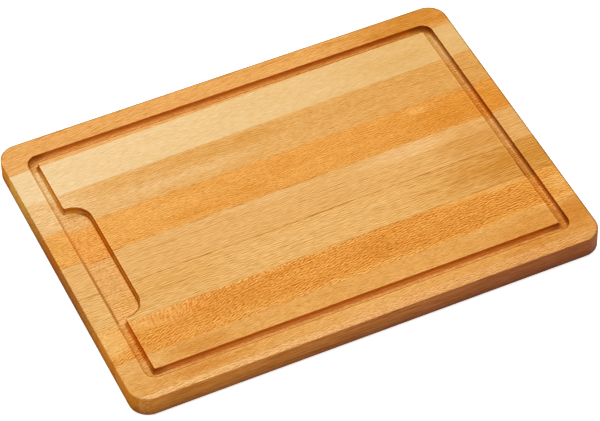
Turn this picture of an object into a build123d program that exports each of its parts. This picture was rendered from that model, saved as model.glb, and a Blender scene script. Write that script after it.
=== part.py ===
from build123d import *

import math
import os

# Carving board: a beech panel glued up from staves, cut to size across slightly slanted glue lines,
# with a juice groove all round the top and a collecting well on the left side.
# Millimetres. Origin under the middle of the board, +X along the staves, +Y to the back, +Z up.

# Board
board_length = 380.0
board_width = 280.0
board_thickness = 18.0
board_corner_radius = 15.5
top_edge_radius = 0.9
bottom_edge_radius = 1.3

# Juice groove
rim_width = 17.8
groove_width = 7.5
groove_depth = 5.7
groove_floor_radius = 1.8
groove_lip_radius = 0.35
island_corner_radius = 1.3

# Juice well, an inward widening of the groove in the middle of the left side
well_length = 120.0
well_reach = 16.9
well_corner_radius = 15.5
well_mouth_radius = 2.2

# Glued panel
stave_width = 34.9
back_stave_width = 27.9
thinnest_strip = 4.0
glue_thickness = 0.1
joint_slant = 0.9

# Worked out from the sizes above
top_plane = Plane.XY.offset(board_thickness)
grain_plane = Plane.XY.rotated((0, 0, joint_slant))
groove_floor = board_thickness - groove_depth
groove_loop_length = board_length - 2 * rim_width
groove_loop_width = board_width - 2 * rim_width
groove_corner_radius = island_corner_radius + groove_width
island_right = groove_loop_length / 2 - groove_width
island_back = groove_loop_width / 2 - groove_width
island_left = -island_right
saw_reach = 2 * math.hypot(board_length, board_width)

# Each end of the well is an S curve: a wide inner corner that runs into a small mouth bending the other way
well_inner_side = island_left + well_reach
well_corner_x = well_inner_side - well_corner_radius
well_corner_y = well_length / 2 - well_corner_radius
well_mouth_x = island_left + well_mouth_radius
arc_centre_distance = well_corner_radius + well_mouth_radius
arc_centre_step = well_mouth_x - well_corner_x
well_mouth_y = well_corner_y + math.sqrt(arc_centre_distance**2 - arc_centre_step**2)
well_end_turn = math.degrees(math.acos(arc_centre_step / arc_centre_distance))


# The raised field inside the groove, with the well's bay in its left side
with BuildSketch(top_plane) as island:
    with BuildLine() as island_outline:
        Line((well_inner_side, 0), (well_inner_side, well_corner_y))
        CenterArc((well_corner_x, well_corner_y), well_corner_radius, 0, well_end_turn)
        CenterArc((well_mouth_x, well_mouth_y), well_mouth_radius, 180 + well_end_turn, -well_end_turn)
        FilletPolyline(
            (island_left, well_mouth_y),
            (island_left, island_back),
            (island_right, island_back),
            (island_right, 0),
            radius=island_corner_radius,
        )
        mirror(about=Plane.XZ)
    make_face()

# The panel with everything machined into it, before it is told apart into its staves
with BuildPart() as panel:
    with BuildSketch() as outline:
        RectangleRounded(board_length, board_width, board_corner_radius)
    extrude(amount=board_thickness)
    fillet(panel.faces().sort_by(Axis.Z)[-1].edges(), radius=top_edge_radius)
    fillet(panel.faces().sort_by(Axis.Z)[0].edges(), radius=bottom_edge_radius)

    with BuildSketch(top_plane) as channel:
        RectangleRounded(groove_loop_length, groove_loop_width, groove_corner_radius)
        add(island.sketch, mode=Mode.SUBTRACT)
    extrude(amount=-groove_depth, mode=Mode.SUBTRACT)
    lip_edges = panel.edges(Select.LAST).filter_by_position(Axis.Z, board_thickness, board_thickness)
    fillet(lip_edges, radius=groove_lip_radius)
    floor_edges = panel.edges().filter_by_position(Axis.Z, groove_floor, groove_floor)
    fillet(floor_edges, radius=groove_floor_radius)


# Glue lines, counted from the back: measured square to the slanted joints
first_joint = board_width / 2 - back_stave_width
slant_drop = board_length / 2 * math.tan(math.radians(joint_slant))
last_joint_limit = -board_width / 2 + slant_drop + thinnest_strip
joint_count = 1 + math.floor((first_joint - last_joint_limit) / stave_width)
joints = [first_joint - stave_width * step for step in range(joint_count)]
stave_backs = [saw_reach / 2] + [joint - glue_thickness / 2 for joint in joints]
stave_fronts = [joint + glue_thickness / 2 for joint in joints] + [-saw_reach / 2]

os.makedirs("parts", exist_ok=True)

# Staves, the back edge first
for number, (back, front) in enumerate(zip(stave_backs, stave_fronts), start=1):
    with BuildPart() as stave:
        add(panel.part)
        with BuildSketch(grain_plane) as stave_band:
            with Locations((0, (back + front) / 2)):
                Rectangle(saw_reach, back - front)
        extrude(amount=board_thickness, mode=Mode.INTERSECT)
    stave.part.label = f"stave_{number}"
    export_step(stave.part, f"parts/stave_{number}.step")

# Glue lines, each filling the seam between two staves right through the board
for number, joint in enumerate(joints, start=1):
    with BuildPart() as glue_line:
        add(panel.part)
        with BuildSketch(grain_plane) as glue_band:
            with Locations((0, joint)):
                Rectangle(saw_reach, glue_thickness)
        extrude(amount=board_thickness, mode=Mode.INTERSECT)
    glue_line.part.label = f"glue_line_{number}"
    export_step(glue_line.part, f"parts/glue_line_{number}.step")
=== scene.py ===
import math

import bpy
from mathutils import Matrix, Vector


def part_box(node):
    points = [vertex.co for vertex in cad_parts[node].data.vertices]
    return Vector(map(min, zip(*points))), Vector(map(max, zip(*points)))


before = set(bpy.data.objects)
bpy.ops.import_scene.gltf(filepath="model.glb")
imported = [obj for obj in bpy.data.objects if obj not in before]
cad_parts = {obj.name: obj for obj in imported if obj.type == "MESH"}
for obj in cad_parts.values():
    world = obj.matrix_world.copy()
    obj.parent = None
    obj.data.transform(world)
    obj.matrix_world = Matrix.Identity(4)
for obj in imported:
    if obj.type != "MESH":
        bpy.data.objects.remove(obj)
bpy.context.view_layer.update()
scene = bpy.context.scene
scene.view_settings.view_transform = "Standard"
print("board loaded:", len(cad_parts), "nodes")

perMetre = 1000.0  # the wood is worked out in millimetres

# camera: long lens, from the front left and above
cameraSetup = {
    "place": (-0.65326, -1.49528, 1.74130),
    "turn": (43.0844, 1.1117, -24.8943),  # degrees
    "lens": 188.3,
    "sensor": 36.0,
}
bpy.ops.object.select_all(action="DESELECT")
bpy.ops.object.camera_add(
    location=cameraSetup["place"],
    rotation=[math.radians(angle) for angle in cameraSetup["turn"]],
)
camera = bpy.context.object
camera.data.lens = cameraSetup["lens"]
camera.data.sensor_width = cameraSetup["sensor"]
scene.camera = camera
print("camera set")


# small helpers for building materials node by node
def paint(red, green, blue):
    # screen colour, 0 to 255, to the linear colour that the shader wants
    linear = []
    for level in (red, green, blue):
        share = level / 255
        linear.append(share / 12.92 if share <= 0.04045 else ((share + 0.055) / 1.055) ** 2.4)
    return (*linear, 1.0)


def addNode(tree, kind, **settings):
    node = tree.nodes.new(kind)
    for name, value in settings.items():
        setattr(node, name, value)
    return node


def plug(tree, socket, value):
    if isinstance(value, bpy.types.NodeSocket):
        tree.links.new(value, socket)
    else:
        socket.default_value = value


def calc(tree, operation, *terms):
    node = addNode(tree, "ShaderNodeMath", operation=operation)
    for socket, term in zip(node.inputs, terms):
        plug(tree, socket, term)
    return node.outputs[0]


def times(tree, first, *others):
    for other in others:
        first = calc(tree, "MULTIPLY", first, other)
    return first


def plus(tree, first, *others):
    for other in others:
        first = calc(tree, "ADD", first, other)
    return first


def rise(tree, value, low, high):
    # 0 below low, 1 above high, eased in between; low may be the larger one
    node = addNode(tree, "ShaderNodeMapRange", interpolation_type="SMOOTHSTEP")
    flip = low > high
    plug(tree, node.inputs["Value"], value)
    node.inputs["From Min"].default_value = min(low, high)
    node.inputs["From Max"].default_value = max(low, high)
    node.inputs["To Min"].default_value = 1.0 if flip else 0.0
    node.inputs["To Max"].default_value = 0.0 if flip else 1.0
    return node.outputs["Result"]


def joinAxes(tree, x, y, z):
    node = addNode(tree, "ShaderNodeCombineXYZ")
    for socket, value in zip(node.inputs, (x, y, z)):
        plug(tree, socket, value)
    return node.outputs[0]


def splitAxes(tree, vector):
    node = addNode(tree, "ShaderNodeSeparateXYZ")
    tree.links.new(vector, node.inputs[0])
    return tuple(node.outputs)


def stretch(tree, coords, size, shift):
    node = addNode(tree, "ShaderNodeMapping")
    plug(tree, node.inputs["Vector"], coords)
    node.inputs["Location"].default_value = shift
    node.inputs["Scale"].default_value = [1 / length for length in size]
    return node.outputs[0]


def cloud(tree, coords, size, shift, detail=2.0):
    # soft noise around zero, from about -0.5 to 0.5, with features of the given size
    node = addNode(tree, "ShaderNodeTexNoise")
    plug(tree, node.inputs["Vector"], stretch(tree, coords, size, shift))
    node.inputs["Scale"].default_value = 1.0
    node.inputs["Detail"].default_value = detail
    return calc(tree, "SUBTRACT", node.outputs["Fac"], 0.5)


def mixColours(tree, amount, first, second, way="MIX"):
    node = addNode(tree, "ShaderNodeMix", data_type="RGBA", blend_type=way)
    plug(tree, node.inputs[0], amount)
    plug(tree, node.inputs[6], first)
    plug(tree, node.inputs[7], second)
    return node.outputs[2]


def tint(tree, amount, colour, shade):
    return mixColours(tree, amount, colour, (*shade, 1), "MULTIPLY")


def newMaterial(name):
    material = bpy.data.materials.new(name)
    material.use_nodes = True
    return material, material.node_tree, material.node_tree.nodes["Principled BSDF"]


# studio: white floor, a broad soft box overhead, a smaller one to the right and a weak one behind
studio = {
    "floorSize": 12.0,
    "floorDrop": 0.0002,
    "floorShade": 0.95,  # what the floor throws back at the board
    "floorRoughness": 0.9,
    "floorGlow": 0.8,
    "skyStrength": 0.03,
    "lights": {
        "topLight": {"place": (-0.25, 0.3, 1.4), "size": 2.2, "watts": 17.5},
        "keyLight": {"place": (0.5, 0.25, 2.1), "size": 0.5, "watts": 21.0},
        "backLight": {"place": (-0.15, 1.2, 1.3), "size": 0.7, "watts": 4.0},
    },
}


def makeFloor():
    bpy.ops.object.select_all(action="DESELECT")
    bpy.ops.mesh.primitive_plane_add(size=studio["floorSize"], location=(0, 0, -studio["floorDrop"]))
    floor = bpy.context.object
    floor.name = "floor"
    material, tree, shader = newMaterial("floorPaper")
    shade = studio["floorShade"]
    shader.inputs["Base Color"].default_value = (shade, shade, shade, 1)
    shader.inputs["Roughness"].default_value = studio["floorRoughness"]
    glow = addNode(tree, "ShaderNodeEmission")
    glow.inputs["Color"].default_value = (1, 1, 1, 1)
    glow.inputs["Strength"].default_value = studio["floorGlow"]
    added = addNode(tree, "ShaderNodeAddShader")
    tree.links.new(shader.outputs[0], added.inputs[0])
    tree.links.new(glow.outputs[0], added.inputs[1])
    path = addNode(tree, "ShaderNodeLightPath")
    mirrored = calc(tree, "MAXIMUM", path.outputs["Is Glossy Ray"], path.outputs["Is Transmission Ray"])
    seen = calc(tree, "MAXIMUM", path.outputs["Is Camera Ray"], mirrored)
    chosen = addNode(tree, "ShaderNodeMixShader")
    tree.links.new(seen, chosen.inputs[0])
    tree.links.new(shader.outputs[0], chosen.inputs[1])
    tree.links.new(added.outputs[0], chosen.inputs[2])
    tree.links.new(chosen.outputs[0], tree.nodes["Material Output"].inputs["Surface"])
    floor.data.materials.append(material)


def makeLight(name, setup):
    bpy.ops.object.light_add(type="AREA", location=setup["place"])
    light = bpy.context.object
    light.name = name
    light.data.energy = setup["watts"]
    light.data.size = setup["size"]
    aim = Vector((0, 0, 0)) - Vector(setup["place"])
    light.rotation_euler = aim.to_track_quat("-Z", "Y").to_euler()


makeFloor()
for name, setup in studio["lights"].items():
    makeLight(name, setup)
sky = bpy.data.worlds.new("studioSky")
scene.world = sky
sky.use_nodes = True
sky.node_tree.nodes["Background"].inputs["Color"].default_value = (1, 1, 1, 1)
sky.node_tree.nodes["Background"].inputs["Strength"].default_value = studio["skyStrength"]
print("studio lit")


# beech: what all the staves share, in millimetres; pairs are where something starts and where it is full
beech = {
    "grainSlant": 0.9,  # degrees, the staves lie this much off the board's edges
    "grainGain": (0.5, 0.8, 1.4),  # how far red, green and blue follow the fine grain
    "shiftStep": (17.3, 9.1, 5.7),  # moves the patterns on from stave to stave
    "patchSize": (90, 12, 12),
    "mottleSize": (14, 4, 4),
    "wobbleSize": (18, 5, 5),
    "wobble": 0.9,
    "blotchFade": (1.1, 0.2),
    "fibreSize": (7.0, 0.8, 0.8),
    "streakSize": (18.0, 1.15, 1.15),
    "streakRise": (0.08, 0.2),
    "seamSize": (22, 1, 1),
    "seamRise": (-0.1, 0.12),
    "seamWidth": (0.9, 0.1),
    "roughness": 0.5,
    "mottleRoughness": 0.15,
    "endRoughness": 0.9,
    "shine": 0.06,
    "bump": 0.3,
    "bumpHeight": 0.0001,  # metres
}

# the outer faces of the board, in millimetres
outerFaces = {
    "outline": {"half": (190.0, 140.0), "corner": 15.5},
    "turn": (0.45, 0.9),  # how squarely a face looks along an axis
    "endDark": (0.71, 0.41, 0.105),  # end grain takes more oil
    "endPale": (1.45, 1.75, 1.6),  # but less so towards the corners
    "endPaleRun": (10, 115),
    "endPores": (1.2, 2.5, 1.2),
    "sideShade": (1.0, 0.66, 0.25),  # the long outer sides, painted shade
    "sideShadeRight": (0.67, 0.65, 1.55),  # painted shade, darker and redder to the right
    "sideShadeRightRun": (-200, 200),
    "sideStreakSize": (26.0, 1.5, 1.5),
    "sideStreak": 1.6,
    # painted shade, darker towards the bottom of the outer faces
    "footShade": (0.66, 0.66, 0.90),
    "footRun": (12.0, 0.0),
    "edgeShade": (0.62, 0.65, 0.66),  # a thin painted shade line along the top edge at the right and the back
    "edgeRight": (176, 184),
    "edgeBack": (126, 134),
    "edgeWidth": (-1.9, -1.2),
    "edgeDepth": 1,
}

# growth rings
ringLook = {
    "waveSize": (70, 25, 25),
    "wave": 5.0,
    "lateWoodRise": (0.5, 0.92),  # in shares of a ring
    "lateWoodFall": (1.0, 0.95),
    "fadeSize": (60, 8, 8),
    "fadeRise": (-0.15, 0.2),
}

# rays: short dashes, and tall flames where they stand across the grain
rayLook = {
    "waves": 1.5,
    "sideLean": 0.6,
    "raggedLength": 1.25,  # against the even dashes
    "raggedSpacing": 0.42,
    "raggedCap": (-0.14, 0.08),
    "levelRise": (0.2, 0.7),
    "uprightShare": 0.2,  # how much of the dashes shows on upright faces
}
flameLook = {
    "bowSize": (12, 8, 8),
    "bow": 7.0,
    "slant": -0.35,
    "clumpSize": (7, 6, 6),
    "clumpRise": (-0.2, 0.06),
    "rise": (0.03, -0.06),
}

# the cut groove, in millimetres: its outlines and heights, then its light and dark marks, many of them
# painted shade and painted light
groove = {
    "outer": {"half": (172.2, 122.2), "corner": 8.8},
    "island": {"half": (164.7, 114.7), "corner": 1.3},
    "well": {"half": (16.9, 60.0), "corner": 15.5},
    "wellPlace": -164.7,
    "floor": 12.3,
    "lip": 17.6,
    "top": 18.0,
    "edgeMargin": 0.2,
    "belowFloor": 0.5,
    "aboveFloor": 0.6,
    "belowTop": 0.1,
    "safeDivisor": 0.0001,
    # floors: darker, with painted shade on the right and painted shadow lines
    "armEase": 1,
    "leftFloorDull": (0.84, 0.84, 0.75),
    # painted shade on the right floor beside the hidden island wall
    "rightFloorShade": (0.80, 0.71, 0.58),
    "rightFloorRun": (170.6, 169.6),  # past this the right floor stays bright
    "wellFloorDull": (0.96, 0.92, 0.86),
    "backFloorDull": (0.88, 0.86, 0.78),
    "shadowLines": ((-170.1, 1.3), (166.8, 0.9)),  # where the painted shadow lines lie on the floor beside hidden walls, and half their width
    "shadowCore": 0.2,
    "shadowLineDark": (0.88, 0.80, 0.68),
    "wellShadowDark": (0.66, 0.58, 0.46),
    "wellShadowRun": (40, -20),
    "chatterSize": (1.3, 1.3, 1.3),
    "chatter": 1.26,
    # walls: dark end grain with painted shade, and painted bounce light low down
    "steepRise": (0.999, 0.975),
    "endTurn": (0.2, 0.7),
    "wellWallTurn": (0.5, 0.1),
    # end grain walls: darker end grain, deepened with painted shade
    "wellWallEndShade": (0.72, 0.35, 0.015),
    "wellWallFade": 0.1,
    # painted bounce light low on the well wall
    "wellWallPaintedLight": (1.6, 2.8, 4.4),
    # painted shade on the well's back end wall
    "wellEndShade": (1.1, 0.92, 0.38),
    # painted shade on the right end grain wall, darkest high up
    "rightWallEndShade": (0.64, 0.35, 0.07),
    "rightWallFoot": 0.2,
    # the left end grain wall, deepened with painted shade
    "leftWallEndShade": (0.98, 0.72, 0.25),
    # painted shade under the lips
    "underLipShade": (0.92, 0.80, 0.55),
    "lowRise": (0.0, 0.12),  # the low part of a wall
    "lowFall": (0.55, 0.15),
    # painted bounce light on the low part of the long walls
    "frontWallPaintedLight": (1.3, 1.55, 1.9),
    "backWallPaintedLight": (1.2, 1.3, 0.95),
    "cornerSide": (152.0, 164.0),
    "cornerBack": (102.0, 114.0),
    "cornerDark": (0.72, 0.60, 0.42),  # where the cutter turned
    # lips: painted shade and painted highlights
    "stepBehind": (0.25, 0.55),  # if this small step leads into the groove, the lip is in front of it
    "dropRise": (0.0, 0.2),
    "lipReach": (1.1, 0.5),
    "lipShade": (0.68, 0.54, 0.36),  # painted shade where a wall drops away behind its lip
    # a thin painted shade line where the drop is sharp
    "lipLineDrop": (0.28, 0.45),
    "lipShadeLine": (0.82, 0.76, 0.66),
    # painted shade on the lip at the front end of the well
    "hookX": (-167, -164),  # the front end of the well
    "hookBack": (-42, -48),
    "hookFront": (-64, -60),
    "hookReach": (1.6, 0.8),
    "hookShade": (0.62, 0.42, 0.20),
    # painted highlight on the top beside the groove
    "highlightStep": 0.8,
    "highlightRise": (0.0, 0.4),
    "highlightFall": (1.5, 0.8),
    "lipHighlight": (1.09, 1.05, 1.02),  # a painted highlight beside it
}

# one look for each stave: tones run from pale over plain to deep, the sheen slide paints the left of the
# board paler as a painted sheen, blotches are in board places
staveLooks = {
    "stave_1": {
        "pale": (238, 176, 104), "plain": (231, 165, 88), "deep": (213, 138, 50),
        "tone": 0.45, "sheenSlide": 0.15, "patch": 0.6, "mottle": 0.32,
        "pith": (-70, -60), "ringGap": 2.6, "ringDepth": 0.5, "sweep": (0.03, 0.0006),
        "fibre": 0.7, "streak": 0.12, "seam": 0.15,
        "stroke": {"length": 3.0, "spacing": 1.9, "slant": 0.06, "bend": 0.0, "even": 1.2, "ragged": 1.1},
        "blotches": [
            {"place": (155, 131), "reach": (75, 16), "lift": 0.42},
            {"place": (-155, 131), "reach": (30, 14), "lift": 0.12},
        ],
    },
    "stave_2": {
        "pale": (241, 206, 152), "plain": (235, 193, 131), "deep": (225, 174, 100),
        "tone": 0.42, "sheenSlide": 0.5, "patch": 0.4, "mottle": 0.32,
        "pith": (20, -90), "ringGap": 5.0, "ringDepth": 0.1, "sweep": (0.0, 0.0),
        "fibre": 0.5, "streak": 0.03, "seam": 0.1,
        "stroke": {"length": 3.0, "spacing": 1.9, "slant": 0.0, "bend": 0.0, "even": 0.5, "ragged": 0.5},
        "blotches": [
            {"place": (120, 93), "reach": (50, 12), "lift": 0.15},
            {"place": (185, 98), "reach": (16, 18), "lift": -0.15},
        ],
    },
    "stave_3": {
        "pale": (238, 192, 130), "plain": (229, 170, 94), "deep": (217, 150, 66),
        "tone": 0.5, "sheenSlide": 0.22, "patch": 0.4, "mottle": 0.32,
        "pith": (-40, -70), "ringGap": 4.5, "ringDepth": 0.35, "sweep": (-0.02, 0.0),
        "fibre": 0.74, "streak": 0.14, "seam": 0.1,
        "stroke": {
            "length": 3.0, "spacing": 1.9, "slant": -0.05, "bend": -0.0003, "even": 1.2, "ragged": 1.1,
        },
        "blotches": [
            {"place": (-182, 64), "reach": (48, 26), "lift": -0.34},
            {"place": (-40, 69), "reach": (110, 8), "lift": 0.12},
            {"place": (-5, 67), "reach": (25, 8), "lift": 0.18},
            {"place": (-70, 54), "reach": (80, 6), "lift": -0.14},
        ],
    },
    "stave_4": {
        "pale": (239, 172, 88), "plain": (233, 160, 72), "deep": (221, 138, 42),
        "tone": 0.45, "sheenSlide": 0.25, "patch": 0.55, "mottle": 0.4,
        "pith": (5, -80), "ringGap": 4.0, "ringDepth": 0.15, "sweep": (0.0, 0.0),
        "fibre": 0.75, "streak": 0.05, "seam": 0.12,
        "stroke": {"length": 2.2, "spacing": 1.9, "slant": 0.08, "bend": 0.0, "even": 1.7, "ragged": 1.5},
        "blotches": [
            {"place": (-75, 15), "reach": (35, 7), "lift": 0.27},
            {"place": (-28, 18), "reach": (16, 7), "lift": 0.27},
            {"place": (122, 38), "reach": (12, 5), "lift": -0.54},
            {"place": (155, 22), "reach": (50, 18), "lift": 0.24},
        ],
    },
    "stave_5": {
        "pale": (239, 188, 122), "plain": (232, 175, 102), "deep": (219, 154, 74),
        "tone": 0.47, "sheenSlide": 0.08, "patch": 0.45, "mottle": 0.32,
        "pith": (60, -50), "ringGap": 2.8, "ringDepth": 0.42, "sweep": (0.0, 0.0),
        "fibre": 0.75, "streak": 0.17, "seam": 0.8,
        "stroke": {"length": 4.5, "spacing": 1.9, "slant": 0.0, "bend": 0.0, "even": 1.2, "ragged": 0.6},
        "blotches": [
            {"place": (-25, 4), "reach": (45, 6), "lift": -0.3},
            {"place": (92, 2), "reach": (44, 11), "lift": -0.6},
            {"place": (145, -12), "reach": (42, 16), "lift": 0.42},
        ],
    },
    "stave_6": {
        "pale": (240, 190, 122), "plain": (232, 175, 98), "deep": (212, 142, 55),
        "tone": 0.42, "sheenSlide": 0.1, "patch": 0.45, "mottle": 0.32,
        "pith": (-60, -40), "ringGap": 2.6, "ringDepth": 0.42, "sweep": (0.0, 0.0),
        "fibre": 0.85, "streak": 0.22, "seam": 0.8,
        "stroke": {"length": 4.5, "spacing": 1.9, "slant": 0.0, "bend": 0.0, "even": 1.5, "ragged": 0.8},
        "blotches": [
            {"place": (-125, -42), "reach": (55, 12), "lift": 0.24},
            {"place": (200, -45), "reach": (130, 60), "lift": 0.46},
            {"place": (-20, -45), "reach": (75, 16), "lift": -0.14},
        ],
    },
    "stave_7": {
        "pale": (243, 184, 104), "plain": (232, 156, 66), "deep": (217, 131, 40),
        "tone": 0.62, "sheenSlide": 0.0, "patch": 0.55, "mottle": 0.4,
        "pith": (-5, -75), "ringGap": 4.5, "ringDepth": 0.1, "sweep": (0.0, 0.0),
        "fibre": 0.8, "streak": 0.05, "seam": 0.1,
        "stroke": {
            "length": 2.5, "spacing": 2.1, "slant": 0.2, "bend": -0.0006, "even": 2.6, "ragged": 2.7,
        },
        "fringe": {
            "length": 4.0, "spacing": 2.0, "reach": 5.0, "lift": -0.45,
            "hairs": 18.0, "raggedSize": (6, 3, 3), "ragged": 9.0,
            "thinning": (70, 0),  # gone on the right half
        },
        "feathers": [
            {
                "place": (-130, -71), "reach": (40, 11),
                "length": 7.0, "spacing": 3.4, "orange": (0.95, 0.60, 0.22),
            },
            {
                "place": (-50, -65), "reach": (90, 5),
                "length": 3.0, "spacing": 2.0, "orange": (0.95, 0.77, 0.48),
            },
        ],
        "blotches": [
            {"place": (30, -78), "reach": (28, 12), "lift": 0.2},
            {"place": (0, -95), "reach": (200, 5), "lift": -0.2},
            {"place": (-185, -80), "reach": (20, 20), "lift": -0.6, "calm": 0.65},
            {"place": (-140, -71), "reach": (40, 12), "lift": -0.42, "calm": 0.7},
            {"place": (185, -78), "reach": (18, 20), "lift": -0.45, "calm": 0.45},
            {"place": (125, -61.5), "reach": (60, 6), "lift": -0.4, "calm": 0.7},
            {"place": (140, -94), "reach": (50, 5), "lift": -0.25, "calm": 0.5},
        ],
    },
    "stave_8": {
        "pale": (238, 180, 105), "plain": (231, 165, 84), "deep": (217, 140, 54),
        "tone": 0.46, "sheenSlide": 0.06, "patch": 0.55, "mottle": 0.36,
        "pith": (0, -40), "ringGap": 5.0, "ringDepth": 0.15, "sweep": (0.0, 0.0),
        "fibre": 0.7, "streak": 0.05, "seam": 0.1,
        "stroke": {"length": 2.2, "spacing": 1.9, "slant": 0.0, "bend": 0.0, "even": 1.0, "ragged": 1.2},
        "blotches": [
            {"place": (-125, -108), "reach": (34, 12), "lift": 0.34},
            {"place": (-160, -104), "reach": (14, 11), "lift": -0.3},
            {"place": (-182, -106), "reach": (16, 12), "lift": -0.35},
            {"place": (-128, -128), "reach": (36, 8), "lift": 0.4},
            {"place": (-98, -126), "reach": (11, 1.4), "lift": 0.36},
            {"place": (155, -108), "reach": (60, 14), "lift": 0.32},
            {"place": (182, -112), "reach": (18, 24), "lift": 0.4},
            {"place": (145, -128), "reach": (42, 9), "lift": 0.36},
            {"place": (0, -126), "reach": (70, 10), "lift": -0.18},
        ],
    },
    "stave_9": {
        "pale": (246, 190, 122), "plain": (238, 175, 105), "deep": (224, 155, 80),
        "tone": 0.48, "sheenSlide": 0.45, "patch": 0.4, "mottle": 0.32,
        "pith": (30, -60), "ringGap": 2.4, "ringDepth": 0.15, "sweep": (0.0, 0.0),
        "fibre": 0.8, "streak": 0.07, "seam": 0.1,
        "stroke": {"length": 2.2, "spacing": 1.9, "slant": 0.0, "bend": 0.0, "even": 1.7, "ragged": 1.6},
        "blotches": [],
    },
}


def spot(tree, x, y, place, reach, wobble):
    # 1 in the middle of an oval place on the board, fading to 0 at its ragged edge
    sideways = calc(tree, "DIVIDE", calc(tree, "SUBTRACT", x, place[0]), reach[0])
    inward = calc(tree, "DIVIDE", calc(tree, "SUBTRACT", y, place[1]), reach[1])
    distance = calc(tree, "SQRT", plus(tree, times(tree, sideways, sideways), times(tree, inward, inward)))
    return rise(tree, plus(tree, distance, wobble), *beech["blotchFade"])


def growthRings(tree, coords, axes, look, shift):
    # rings about a pith that wanders along the stave
    along, across, up = axes
    bend, curve = look["sweep"]
    leftward = calc(tree, "MINIMUM", along, 0.0)
    lean = plus(tree, times(tree, along, bend), times(tree, leftward, leftward, -curve))
    wave = times(tree, cloud(tree, coords, ringLook["waveSize"], shift), ringLook["wave"])
    sideways = plus(tree, calc(tree, "SUBTRACT", across, lean), wave, -look["pith"][0])
    height = plus(tree, up, wave, -look["pith"][1])
    radius = calc(tree, "SQRT", plus(tree, times(tree, sideways, sideways), times(tree, height, height)))
    ringCount = calc(tree, "DIVIDE", radius, look["ringGap"])
    ringShare = calc(tree, "FRACT", ringCount)
    ringStrength = addNode(tree, "ShaderNodeTexWhiteNoise", noise_dimensions="1D")
    plug(tree, ringStrength.inputs["W"], calc(tree, "FLOOR", ringCount))
    begun = rise(tree, ringShare, *ringLook["lateWoodRise"])
    lateWood = times(tree, begun, rise(tree, ringShare, *ringLook["lateWoodFall"]))
    fade = rise(tree, cloud(tree, coords, ringLook["fadeSize"], shift), *ringLook["fadeRise"])
    return times(tree, lateWood, ringStrength.outputs["Value"], fade)


def strokes(tree, lengthwise, crosswise, stroke, shift):
    # thin lines of one length and spacing, dark and pale in turn
    size = (stroke["length"], stroke["spacing"] * rayLook["waves"], 1.0)
    lines = addNode(tree, "ShaderNodeTexGabor", gabor_type="2D")
    plane = joinAxes(tree, lengthwise, crosswise, 0.0)
    plug(tree, lines.inputs["Vector"], stretch(tree, plane, size, shift))
    lines.inputs["Scale"].default_value = 1.0
    lines.inputs["Frequency"].default_value = rayLook["waves"]
    lines.inputs["Anisotropy"].default_value = 1.0
    lines.inputs[4].default_value = math.radians(90)  # the lines lie lengthwise
    return calc(tree, "SUBTRACT", lines.outputs["Value"], 0.5)


def rayStrokes(tree, axes, stroke, shift):
    # rays cut along their length: fine dashes at a slant to the grain, some even and some ragged
    along, across, up = axes
    slope = plus(tree, times(tree, along, stroke["slant"]), times(tree, along, along, stroke["bend"]))
    crosswise = calc(tree, "SUBTRACT", plus(tree, across, times(tree, up, rayLook["sideLean"])), slope)
    even = strokes(tree, along, crosswise, stroke, shift)
    size = (stroke["length"] * rayLook["raggedLength"], stroke["spacing"] * rayLook["raggedSpacing"], 1.0)
    ragged = cloud(tree, joinAxes(tree, along, crosswise, 0.0), size, shift, detail=1)
    darkest, palest = rayLook["raggedCap"]
    capped = calc(tree, "MAXIMUM", calc(tree, "MINIMUM", ragged, palest), darkest)
    return plus(tree, times(tree, even, stroke["even"]), times(tree, capped, stroke["ragged"]))


def featherFlecks(tree, coords, axes, x, y, feather, wobble, shift):
    # tall orange flames in clumps, where the rays stand across the grain
    along, across, up = axes
    bow = times(tree, cloud(tree, coords, flameLook["bowSize"], shift), flameLook["bow"])
    crosswise = plus(tree, along, times(tree, across, flameLook["slant"]), bow)
    flames = strokes(tree, plus(tree, across, up), crosswise, feather, shift)
    clumps = rise(tree, cloud(tree, coords, flameLook["clumpSize"], shift), *flameLook["clumpRise"])
    place = spot(tree, x, y, feather["place"], feather["reach"], wobble)
    return times(tree, rise(tree, flames, *flameLook["rise"]), clumps, place)


def fringeOf(tree, coords, axes, joint, fringe, shift):
    # a hairy pale border along the back joint
    along, across = axes[:2]
    hairs = times(tree, strokes(tree, across, along, fringe, shift), fringe["hairs"])
    ragged = times(tree, cloud(tree, coords, fringe["raggedSize"], shift), fringe["ragged"])
    inward = calc(tree, "SUBTRACT", joint, across)
    border = rise(tree, plus(tree, inward, hairs, ragged), fringe["reach"], 0.0)
    thinning = rise(tree, along, *fringe["thinning"])
    return times(tree, border, thinning, fringe["lift"])


def boxDistance(tree, x, y, outline):
    # how far outside a rounded rectangle a place is, less than 0 inside it
    radius = outline["corner"]
    overX = calc(tree, "SUBTRACT", calc(tree, "ABSOLUTE", x), outline["half"][0] - radius)
    overY = calc(tree, "SUBTRACT", calc(tree, "ABSOLUTE", y), outline["half"][1] - radius)
    pastX = calc(tree, "MAXIMUM", overX, 0.0)
    pastY = calc(tree, "MAXIMUM", overY, 0.0)
    past = calc(tree, "SQRT", plus(tree, times(tree, pastX, pastX), times(tree, pastY, pastY)))
    within = calc(tree, "MINIMUM", calc(tree, "MAXIMUM", overX, overY), 0.0)
    return plus(tree, past, within, -radius)


def grooveDistance(tree, x, y):
    # from the nearest groove edge, less than 0 in the groove; then the same for the well alone
    outer = boxDistance(tree, x, y, groove["outer"])
    island = boxDistance(tree, x, y, groove["island"])
    bay = boxDistance(tree, plus(tree, x, -groove["wellPlace"]), y, groove["well"])
    well = calc(tree, "MAXIMUM", bay, outer)
    channel = calc(tree, "MAXIMUM", outer, calc(tree, "MULTIPLY", island, -1.0))
    return calc(tree, "MINIMUM", channel, well), well


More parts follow.
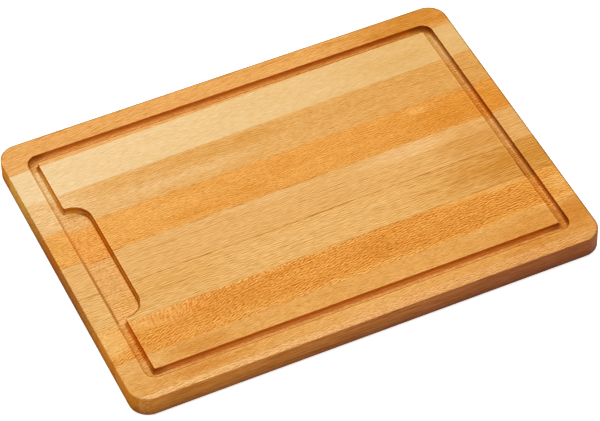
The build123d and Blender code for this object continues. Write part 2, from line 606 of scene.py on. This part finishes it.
def grooveMarksAndShade(tree, board, boardAxes, facing, colour):
    # darker floors, dark end grain walls, and painted shade, painted bounce light and painted highlights
    # in the cut groove, then the outer faces with painted shade
    x, y, z = boardAxes
    outX = calc(tree, "ABSOLUTE", x)
    outY = calc(tree, "ABSOLUTE", y)
    distance, well = grooveDistance(tree, x, y)
    stepX, stepY = groove["stepBehind"]
    beyond = grooveDistance(tree, plus(tree, x, stepX), plus(tree, y, stepY))[0]
    drop = calc(tree, "SUBTRACT", distance, beyond)
    behind = rise(tree, drop, *groove["dropRise"])
    aboveFloor = calc(tree, "GREATER_THAN", z, groove["floor"] - groove["belowFloor"])
    cut = times(tree, calc(tree, "LESS_THAN", distance, groove["edgeMargin"]), aboveFloor)
    rightSide = calc(tree, "GREATER_THAN", x, 0.0)
    inWell = calc(tree, "LESS_THAN", well, groove["edgeMargin"])
    plainLeft = calc(tree, "SUBTRACT", 1.0, calc(tree, "MAXIMUM", rightSide, inWell))

    # floors: darker in the arms that cross the grain, in the well and at the back, with painted shade
    # beside the hidden wall on the right and painted shadow lines
    floor = times(tree, cut, rise(tree, z, groove["floor"] + groove["aboveFloor"], groove["floor"]))
    islandSide, islandBack = groove["island"]["half"]
    ease = groove["armEase"]
    arms = times(tree, floor, rise(tree, outX, islandSide - ease, islandSide + ease))
    colour = tint(tree, times(tree, arms, plainLeft), colour, groove["leftFloorDull"])
    # painted shade on the right floor beside the hidden island wall
    rightArm = times(tree, arms, rightSide, rise(tree, x, *groove["rightFloorRun"]))
    colour = tint(tree, rightArm, colour, groove["rightFloorShade"])
    colour = tint(tree, times(tree, floor, inWell), colour, groove["wellFloorDull"])
    backArm = times(tree, floor, rise(tree, y, islandBack, groove["outer"]["half"][1]))
    colour = tint(tree, backArm, colour, groove["backFloorDull"])
    # painted shadow lines on the floor beside the hidden walls, darker towards the front of the well
    for place, half in groove["shadowLines"]:
        offset = calc(tree, "ABSOLUTE", calc(tree, "SUBTRACT", x, place))
        line = times(tree, floor, rise(tree, offset, half, groove["shadowCore"]))
        colour = tint(tree, line, colour, groove["shadowLineDark"])
        worse = times(tree, line, inWell, rise(tree, y, *groove["wellShadowRun"]))
        colour = tint(tree, worse, colour, groove["wellShadowDark"])

    # walls: end grain is dark, with painted shade on it, most of all under the lip; the low parts of the
    # walls get painted bounce light, and the corners are scorched
    lookX = calc(tree, "ABSOLUTE", facing[0])
    lookY = calc(tree, "ABSOLUTE", facing[1])
    steep = rise(tree, facing[2], *groove["steepRise"])
    wall = times(tree, cut, steep, rise(tree, z, groove["top"], groove["lip"]))
    squareX = times(tree, lookX, lookX)
    levelShare = plus(tree, squareX, times(tree, lookY, lookY), groove["safeDivisor"])
    endward = calc(tree, "DIVIDE", squareX, levelShare)
    endWall = times(tree, wall, rise(tree, endward, *groove["endTurn"]))
    sideWall = calc(tree, "SUBTRACT", wall, endWall)
    climb = rise(tree, z, groove["floor"], groove["lip"])
    wellWall = times(tree, endWall, inWell, rise(tree, facing[1], *groove["wellWallTurn"]))
    rightWall = times(tree, endWall, rightSide)
    leftWall = times(tree, endWall, plainLeft)
    fading = calc(tree, "MULTIPLY_ADD", climb, -groove["wellWallFade"], 1.0)
    growing = calc(tree, "MULTIPLY_ADD", climb, 1 - groove["rightWallFoot"], groove["rightWallFoot"])
    # end grain walls: darker end grain, deepened with painted shade, on the right darkest high up
    colour = tint(tree, times(tree, wellWall, fading), colour, groove["wellWallEndShade"])
    colour = tint(tree, times(tree, rightWall, growing), colour, groove["rightWallEndShade"])
    colour = tint(tree, leftWall, colour, groove["leftWallEndShade"])
    # painted shade under the lip, growing towards the top of the wall
    for part in (leftWall, sideWall):
        colour = tint(tree, times(tree, part, climb, climb), colour, groove["underLipShade"])
    # painted bounce light on the low part of the walls
    lowDown = times(tree, rise(tree, climb, *groove["lowRise"]), rise(tree, climb, *groove["lowFall"]))
    colour = tint(tree, times(tree, wellWall, lowDown), colour, groove["wellWallPaintedLight"])
    lowSide = times(tree, sideWall, lowDown)
    atBack = calc(tree, "GREATER_THAN", y, 0.0)
    atFront = calc(tree, "SUBTRACT", 1.0, atBack)
    colour = tint(tree, times(tree, lowSide, atBack), colour, groove["backWallPaintedLight"])
    # painted shade on the well's back end wall
    colour = tint(tree, times(tree, sideWall, inWell, atBack), colour, groove["wellEndShade"])
    # painted bounce light low on the front walls
    colour = tint(tree, times(tree, lowSide, atFront), colour, groove["frontWallPaintedLight"])
    nearSide = rise(tree, outX, *groove["cornerSide"])
    nearBack = rise(tree, outY, *groove["cornerBack"])
    colour = tint(tree, times(tree, wall, nearSide, nearBack), colour, groove["cornerDark"])

    # lips: painted shade in front of the groove where its wall drops away, and a painted highlight beside
    # it
    onTop = rise(tree, z, groove["lip"], groove["top"] - groove["belowTop"])
    # painted shade on the lip where the groove's wall drops away behind it
    lipShaded = times(tree, onTop, behind, rise(tree, distance, *groove["lipReach"]))
    colour = tint(tree, lipShaded, colour, groove["lipShade"])
    sharply = rise(tree, drop, *groove["lipLineDrop"])
    colour = tint(tree, times(tree, lipShaded, sharply), colour, groove["lipShadeLine"])
    # painted shade on the lip at the front end of the well
    nearHook = times(
        tree,
        rise(tree, x, *groove["hookX"]),
        rise(tree, y, *groove["hookBack"]),
        rise(tree, y, *groove["hookFront"]),
    )
    hook = times(tree, onTop, behind, rise(tree, distance, *groove["hookReach"]), nearHook)
    colour = tint(tree, hook, colour, groove["hookShade"])
    # painted highlight on the top beside the groove
    highlightFrom = calc(tree, "SUBTRACT", distance, times(tree, behind, groove["highlightStep"]))
    highlightOut = rise(tree, highlightFrom, *groove["highlightFall"])
    lipHighlightMask = times(tree, onTop, rise(tree, highlightFrom, *groove["highlightRise"]), highlightOut)
    colour = tint(tree, lipHighlightMask, colour, groove["lipHighlight"])
    chatter = times(tree, cloud(tree, board, groove["chatterSize"], (0, 0, 0)), floor, groove["chatter"])

    # the outer faces, with painted shade on the sides, towards the foot and along the far top edges
    outside = calc(tree, "SUBTRACT", 1.0, cut)
    ends = times(tree, outside, rise(tree, lookX, *outerFaces["turn"]))
    sides = times(tree, outside, rise(tree, lookY, *outerFaces["turn"]))
    foot = times(tree, plus(tree, ends, sides), rise(tree, z, *outerFaces["footRun"]))
    colour = tint(tree, ends, colour, outerFaces["endDark"])
    cornerward = rise(tree, outY, *outerFaces["endPaleRun"])
    colour = tint(tree, times(tree, ends, cornerward), colour, outerFaces["endPale"])
    # painted shade on the long sides, darker and redder to the right
    colour = tint(tree, sides, colour, outerFaces["sideShade"])
    rightward = rise(tree, x, *outerFaces["sideShadeRightRun"])
    colour = tint(tree, times(tree, sides, rightward), colour, outerFaces["sideShadeRight"])
    # painted shade towards the foot of the outer faces
    colour = tint(tree, foot, colour, outerFaces["footShade"])
    # painted shade line along the top edge at the right and the back
    atRight = rise(tree, x, *outerFaces["edgeRight"])
    farSide = calc(tree, "MAXIMUM", atRight, rise(tree, y, *outerFaces["edgeBack"]))
    brink = rise(tree, boxDistance(tree, x, y, outerFaces["outline"]), *outerFaces["edgeWidth"])
    highUp = rise(tree, z, groove["lip"] - outerFaces["edgeDepth"], groove["lip"])
    colour = tint(tree, times(tree, brink, farSide, highUp), colour, outerFaces["edgeShade"])
    pores = times(tree, cloud(tree, board, outerFaces["endPores"], (0, 0, 0)), ends)
    lines = cloud(tree, board, outerFaces["sideStreakSize"], (0, 0, 0))
    streaks = times(tree, lines, sides, outerFaces["sideStreak"])
    return colour, plus(tree, chatter, pores, streaks), ends


def jointPlaces(number):
    # where the glue lines beside a stave lie, across the grain
    names = [f"glue_line_{line}" for line in (number - 1, number)]
    boxes = [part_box(name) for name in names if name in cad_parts]
    return [(low.y + high.y) / 2 * perMetre for low, high in boxes]


def beechMaterial(node, look, seed):
    material, tree, shader = newMaterial("beech_" + node)
    shift = [seed * step for step in beech["shiftStep"]]
    low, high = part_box(node)
    middle = (low.y + high.y) / 2 * perMetre

    # places on the board in millimetres, and turned to lie along the grain
    source = addNode(tree, "ShaderNodeTexCoord")
    board = stretch(tree, source.outputs["Object"], (1 / perMetre, 1 / perMetre, 1 / perMetre), (0, 0, 0))
    boardAxes = splitAxes(tree, board)
    x, y, z = boardAxes
    turned = addNode(tree, "ShaderNodeMapping")
    tree.links.new(board, turned.inputs["Vector"])
    turned.inputs["Rotation"].default_value = (0, 0, -math.radians(beech["grainSlant"]))
    turned.inputs["Location"].default_value = (0, -middle, 0)
    coords = turned.outputs[0]
    axes = splitAxes(tree, coords)

    # tone of the wood, from broad to fine
    mottle = cloud(tree, coords, beech["mottleSize"], shift, detail=3)
    wobble = times(tree, cloud(tree, coords, beech["wobbleSize"], shift), beech["wobble"])
    halfLength = outerFaces["outline"]["half"][0]
    # the sheen slide is a painted sheen: the tone runs paler to the left
    tone = plus(
        tree,
        calc(tree, "MULTIPLY_ADD", x, look["sheenSlide"] / halfLength, look["tone"]),
        times(tree, cloud(tree, coords, beech["patchSize"], shift), look["patch"]),
        times(tree, mottle, look["mottle"]),
    )
    facing = splitAxes(tree, source.outputs["Normal"])
    level = rise(tree, facing[2], *rayLook["levelRise"])
    dashes = rayStrokes(tree, axes, look["stroke"], shift)
    upright = rayLook["uprightShare"]
    dashes = times(tree, dashes, calc(tree, "MULTIPLY_ADD", level, 1 - upright, upright))
    for blotch in look["blotches"]:
        stain = spot(tree, x, y, blotch["place"], blotch["reach"], wobble)
        tone = plus(tree, tone, times(tree, stain, blotch["lift"]))
        if "calm" in blotch:
            dashes = times(tree, dashes, calc(tree, "MULTIPLY_ADD", stain, -blotch["calm"], 1.0))
    if "fringe" in look:
        backJoint = max(jointPlaces(seed)) - middle
        tone = plus(tree, tone, fringeOf(tree, coords, axes, backJoint, look["fringe"], shift))
    ramp = addNode(tree, "ShaderNodeValToRGB")
    plug(tree, ramp.inputs[0], tone)
    ramp.color_ramp.elements[0].color = paint(*look["pale"])
    ramp.color_ramp.elements[1].color = paint(*look["deep"])
    ramp.color_ramp.elements.new(0.5).color = paint(*look["plain"])

    # fine grain: fibres, broken dark streaks, ring lines and ray dashes
    rings = growthRings(tree, coords, axes, look, shift)
    fibre = cloud(tree, coords, beech["fibreSize"], shift, detail=1)
    streak = rise(tree, cloud(tree, coords, beech["streakSize"], shift, detail=1), *beech["streakRise"])
    fine = plus(
        tree,
        times(tree, fibre, look["fibre"]),
        times(tree, streak, -look["streak"]),
        times(tree, rings, -look["ringDepth"]),
        dashes,
    )
    gaps = rise(tree, cloud(tree, coords, beech["seamSize"], shift), *beech["seamRise"])
    broken = times(tree, gaps, -look["seam"])
    for place in jointPlaces(seed):
        offset = calc(tree, "ABSOLUTE", plus(tree, axes[1], middle - place))
        fine = plus(tree, fine, times(tree, rise(tree, offset, *beech["seamWidth"]), broken))

    # flames, marks of the cutter with painted shade and light, then the grain over everything
    colour = ramp.outputs[0]
    for feather in look.get("feathers", []):
        flames = featherFlecks(tree, coords, axes, x, y, feather, wobble, shift)
        colour = tint(tree, flames, colour, feather["orange"])
    colour, chatter, ends = grooveMarksAndShade(tree, board, boardAxes, facing, colour)
    fine = plus(tree, fine, chatter)
    gains = [calc(tree, "MULTIPLY_ADD", fine, gain, 1.0) for gain in beech["grainGain"]]
    grain = addNode(tree, "ShaderNodeVectorMath", operation="MULTIPLY")
    tree.links.new(colour, grain.inputs[0])
    tree.links.new(joinAxes(tree, *gains), grain.inputs[1])
    plug(tree, shader.inputs["Base Color"], grain.outputs[0])

    # sheen and relief
    roughness = calc(tree, "MULTIPLY_ADD", mottle, beech["mottleRoughness"], beech["roughness"])
    rougher = times(tree, ends, beech["endRoughness"] - beech["roughness"])
    plug(tree, shader.inputs["Roughness"], plus(tree, roughness, rougher))
    shader.inputs["Specular IOR Level"].default_value = beech["shine"]
    bump = addNode(tree, "ShaderNodeBump")
    plug(tree, bump.inputs["Height"], fine)
    bump.inputs["Strength"].default_value = beech["bump"]
    bump.inputs["Distance"].default_value = beech["bumpHeight"]
    tree.links.new(bump.outputs[0], shader.inputs["Normal"])
    return material


for number, (node, look) in enumerate(staveLooks.items(), start=1):
    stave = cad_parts[node]
    stave.material_slots[0].material = beechMaterial(node, look, number)
print("staves finished:", len(staveLooks))


glueLook = {
    "dark": (196, 128, 60),
    "pale": (222, 158, 86),
    "streakSize": (0.02, 0.004, 0.004),  # metres
    "streakRise": (-0.3, 0.3),
    "roughness": 0.4,
}


def glueMaterial():
    material, tree, shader = newMaterial("woodGlue")
    source = addNode(tree, "ShaderNodeTexCoord")
    streak = cloud(tree, source.outputs["Object"], glueLook["streakSize"], (0, 0, 0), detail=3)
    amount = rise(tree, streak, *glueLook["streakRise"])
    shade = mixColours(tree, amount, paint(*glueLook["dark"]), paint(*glueLook["pale"]))
    plug(tree, shader.inputs["Base Color"], shade)
    shader.inputs["Roughness"].default_value = glueLook["roughness"]
    return material


glue = glueMaterial()
glueLines = [node for name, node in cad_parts.items() if name.startswith("glue_line")]
for line in glueLines:
    line.material_slots[0].material = glue
print("glue lines finished:", len(glueLines))
